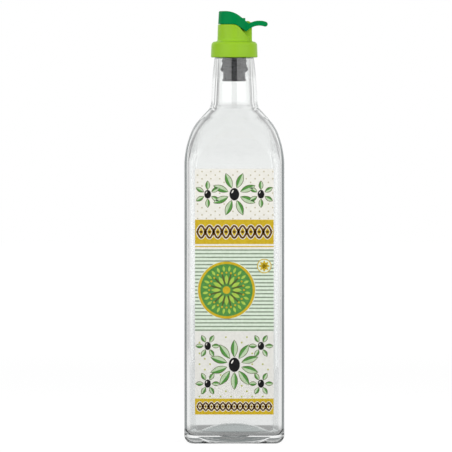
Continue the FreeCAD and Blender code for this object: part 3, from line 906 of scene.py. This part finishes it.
# bands: a braid of two waves with beads in its eyes
braids = {
    "top": {"z": (topLow + topHigh) / 2, "rise": 4.6, "waves": 4.5, "width": 1.5},
    "base": {"z": (baseLow + baseHigh) / 2, "rise": 2.9, "waves": 6.5, "width": 1.2},
}
braidShape = {"margin": 1.6, "edge": 0.9, "bead": 0.24, "points": 240}


def waveRibbon(look, sign, width):
    # ribbon of even width round a sine line, as quads between two offset lines
    count = braidShape["points"]
    x = np.linspace(left + braidShape["margin"], right - braidShape["margin"], count)
    pace = fullTurn * look["waves"] / (x[-1] - x[0])
    z = look["z"] + sign * look["rise"] * np.sin(pace * (x - x[0]))
    slope = sign * look["rise"] * pace * np.cos(pace * (x - x[0]))
    across = np.stack([-slope, np.ones(count)], -1) / np.sqrt(1 + slope ** 2)[:, None] * width / 2
    line = np.stack([x, z], -1)
    low, high = line - across, line + across
    return np.stack([low[:-1], low[1:], high[1:], high[:-1]], 1)


for zone, look in braids.items():
    ribbons = [waveRibbon(look, sign, look["width"] + braidShape["edge"]) for sign in (1, -1)]
    plates(zone + "BraidEdge", np.concatenate(ribbons), "cream", "first")
    ribbons = [waveRibbon(look, sign, look["width"]) for sign in (1, -1)]
    plates(zone + "Braid", np.concatenate(ribbons), "bronze", "second")
    eyes = int(look["waves"] * 2)
    start = left + braidShape["margin"]
    pitch = (right - braidShape["margin"] - start) / eyes
    spots = [(start + pitch * (index + 0.5), look["z"], 0.0, 1.0) for index in range(eyes)]
    bead = circle(0.0, 0.0, look["rise"] * braidShape["bead"], 16)
    plates(zone + "Beads", placed(bead, spots), "bronze", "first")
print("print done")


# Studio: pale floor, soft boxes in front at both sides, a white surround; in metres and degrees,
# with lanes, gaps and turns as ranges of a direction's cosine or of its part along y or z

studio = {
    "boxRadiance": 1.86,
    "boxDistance": 1.3,
    "boxAzimuth": 48.0,
    "boxWidth": 1.61,
    "boxHeight": 1.3,
    "boxLevel": 0.47,
    "aimLevel": 0.2,
    "ambient": 0.5,
    "backAmbient": 1.1,
    "throughShade": 0.4,
    "throughLean": 0.14,
    "duskRise": (0.2, 0.45),
    "ambientTurn": (0.0, 0.6),
    "glossSide": 0.15,
    "glossFront": 0.02,
    "glossTurn": (0.0, 0.4),
    "frontGap": (-0.8, -0.93),
    "wideLane": (-0.7, -0.05),
    "narrowLane": (0.8, 0.95),
    "sideLane": (0.1, 0.9),
    "sideDim": 0.45,
    "floorColour": 0.22,
    "floorGlow": 0.82,
    "contactReach": (0.07, 0.2),
    "contactLevel": 0.25,
    "laneStart": (1.0, 2.2),
    "farGlow": 0.05,
    "floorSeen": 0.8,
    "seenFade": (1.0, 5.0),
    "floorHalf": 6000.0,  # millimetres
    "floorDrop": 0.02,  # millimetres
}


def addSoftBox(name, side):
    lamp = bpy.data.lights.new(name, "AREA")
    lamp.shape = "RECTANGLE"
    lamp.size, lamp.size_y = studio["boxWidth"], studio["boxHeight"]
    lamp.energy = studio["boxRadiance"] * math.pi * lamp.size * lamp.size_y
    holder = bpy.data.objects.new(name, lamp)
    turn = side * studio["boxAzimuth"]
    away = studio["boxDistance"]
    holder.location = (away * sine(turn), -away * cosine(turn), studio["boxLevel"])
    toObject = Vector((0.0, 0.0, studio["aimLevel"])) - holder.location
    holder.rotation_euler = toObject.to_track_quat("-Z", "Y").to_euler()
    bpy.context.scene.collection.objects.link(holder)


addSoftBox("leftBox", -1)
addSoftBox("rightBox", 1)


def lanes(x, y):
    # pale lanes outwards from the bottle: four wide ones square to its faces, dimmer at its sides,
    # and four narrow ones at its corners, from the cosine of four times the bearing
    bearing = x.math("ARCTAN2", y)
    fourfold = (bearing * 4.0).math("COSINE")
    sideways = ((bearing * 2.0).math("COSINE") * -1.0).step(*studio["sideLane"])
    wide = fourfold.step(*studio["wideLane"]) * (1 - sideways * studio["sideDim"])
    return wide.largest((fourfold * -1.0).step(*studio["narrowLane"]))


def dusk(x):
    # between the lanes, a little darker to the left
    return x * studio["throughLean"] + studio["throughShade"]


def paintWorld():
    # white to the eye; through glass it is pale lanes with dusk between them and above;
    # in gloss it is white behind, dim at the sides and dark in front, between the boxes
    world = bpy.data.worlds.new("surround")
    bpy.context.scene.world = world
    s = Shader(world)
    x, y, z = s.split(s.node("TexCoord").outputs["Generated"])
    pale = lanes(x, y) * (1 - z.step(*studio["duskRise"]))
    shade = dusk(x)
    through = pale * (1 - shade) + shade
    front = y.step(*studio["frontGap"])
    behind = y.step(*studio["glossTurn"]) * (1.0 - studio["glossSide"]) + studio["glossSide"]
    gloss = behind * (1 - front) + front * studio["glossFront"]
    path = s.node("LightPath")
    eye = Value(s, path.outputs["Is Camera Ray"])
    lit = Value(s, path.outputs["Diffuse Depth"]).math("GREATER_THAN", 0.5)
    crossed = Value(s, path.outputs["Is Transmission Ray"]) * (1 - lit)
    mirrored = Value(s, path.outputs["Is Glossy Ray"]) * (1 - crossed) * (1 - lit)
    other = (1 - eye) * (1 - crossed) * (1 - mirrored)
    extra = studio["backAmbient"] - studio["ambient"]
    ambient = y.step(*studio["ambientTurn"]) * extra + studio["ambient"]
    strength = eye + crossed * through + mirrored * gloss + other * ambient
    made = s.node("Background", {}, {"Color": (1.0, 1.0, 1.0, 1.0), "Strength": strength})
    s.finish(made.outputs[0], "OutputWorld")


paintWorld()


def floorMaterial():
    # pale paper that takes the object's shadow, with a glow for the eye; through glass and in
    # gloss the glow is weaker near the bottle and between the lanes
    material = bpy.data.materials.new("floorPaper")
    s = Shader(material)
    tone = studio["floorColour"]
    paper = s.node("BsdfDiffuse", {}, {"Color": (tone, tone, tone, 1.0)}).outputs[0]
    path = s.node("LightPath")
    eye = Value(s, path.outputs["Is Camera Ray"])
    seen = Value(s, path.outputs["Is Transmission Ray"]).largest(Value(s, path.outputs["Is Glossy Ray"]))
    away = s.value("VectorMath", {"operation": "LENGTH"}, {0: s.place()}, "Value")
    x, y, z = s.split(s.place())
    far = away.step(*studio["laneStart"])
    shade = dusk(x.math("DIVIDE", away))
    between = (1 - lanes(x, y)) * (1 - shade) * far
    plain = eye * (far * studio["farGlow"] + 1)
    level = away.step(*studio["seenFade"]) * (1 - studio["floorSeen"]) + studio["floorSeen"]
    contact = away.step(*studio["contactReach"]) * (1 - studio["contactLevel"]) + studio["contactLevel"]
    glow = plain.largest(seen * level * contact * (1 - between)) * studio["floorGlow"]
    glow = s.node("Emission", {}, {"Strength": glow}).outputs[0]
    s.finish(s.node("AddShader", {}, {0: paper, 1: glow}).outputs[0])
    return material


def addFloor():
    # wide level sheet just under the bottle
    half, drop = studio["floorHalf"], studio["floorDrop"]
    corners = [(-half, -half, -drop), (half, -half, -drop), (half, half, -drop), (-half, half, -drop)]
    mesh = bpy.data.meshes.new("floor")
    mesh.from_pydata((np.array(corners) * mm).tolist(), [], [(0, 1, 2, 3)])
    mesh.materials.append(floorMaterial())
    floor = bpy.data.objects.new("floor", mesh)
    bpy.context.scene.collection.objects.link(floor)


addFloor()

camera = {"distance": 5.0, "aimX": -0.0064, "aimZ": 0.1669, "rise": 1.3, "frameWidth": 0.3502}


def addCamera():
    lens = bpy.data.cameras.new("camera")
    lens.sensor_width = 36.0
    lens.lens = lens.sensor_width * camera["distance"] / camera["frameWidth"]
    lens.clip_end = 100.0
    holder = bpy.data.objects.new("camera", lens)
    away = camera["distance"]
    aim = Vector((camera["aimX"], 0.0, camera["aimZ"]))
    holder.location = aim + Vector((0.0, -away * cosine(camera["rise"]), away * sine(camera["rise"])))
    holder.rotation_euler = (aim - holder.location).to_track_quat("-Z", "Y").to_euler()
    bpy.context.scene.collection.objects.link(holder)
    bpy.context.scene.camera = holder


addCamera()
bpy.context.scene.view_settings.view_transform = "Standard"
print("studio done")
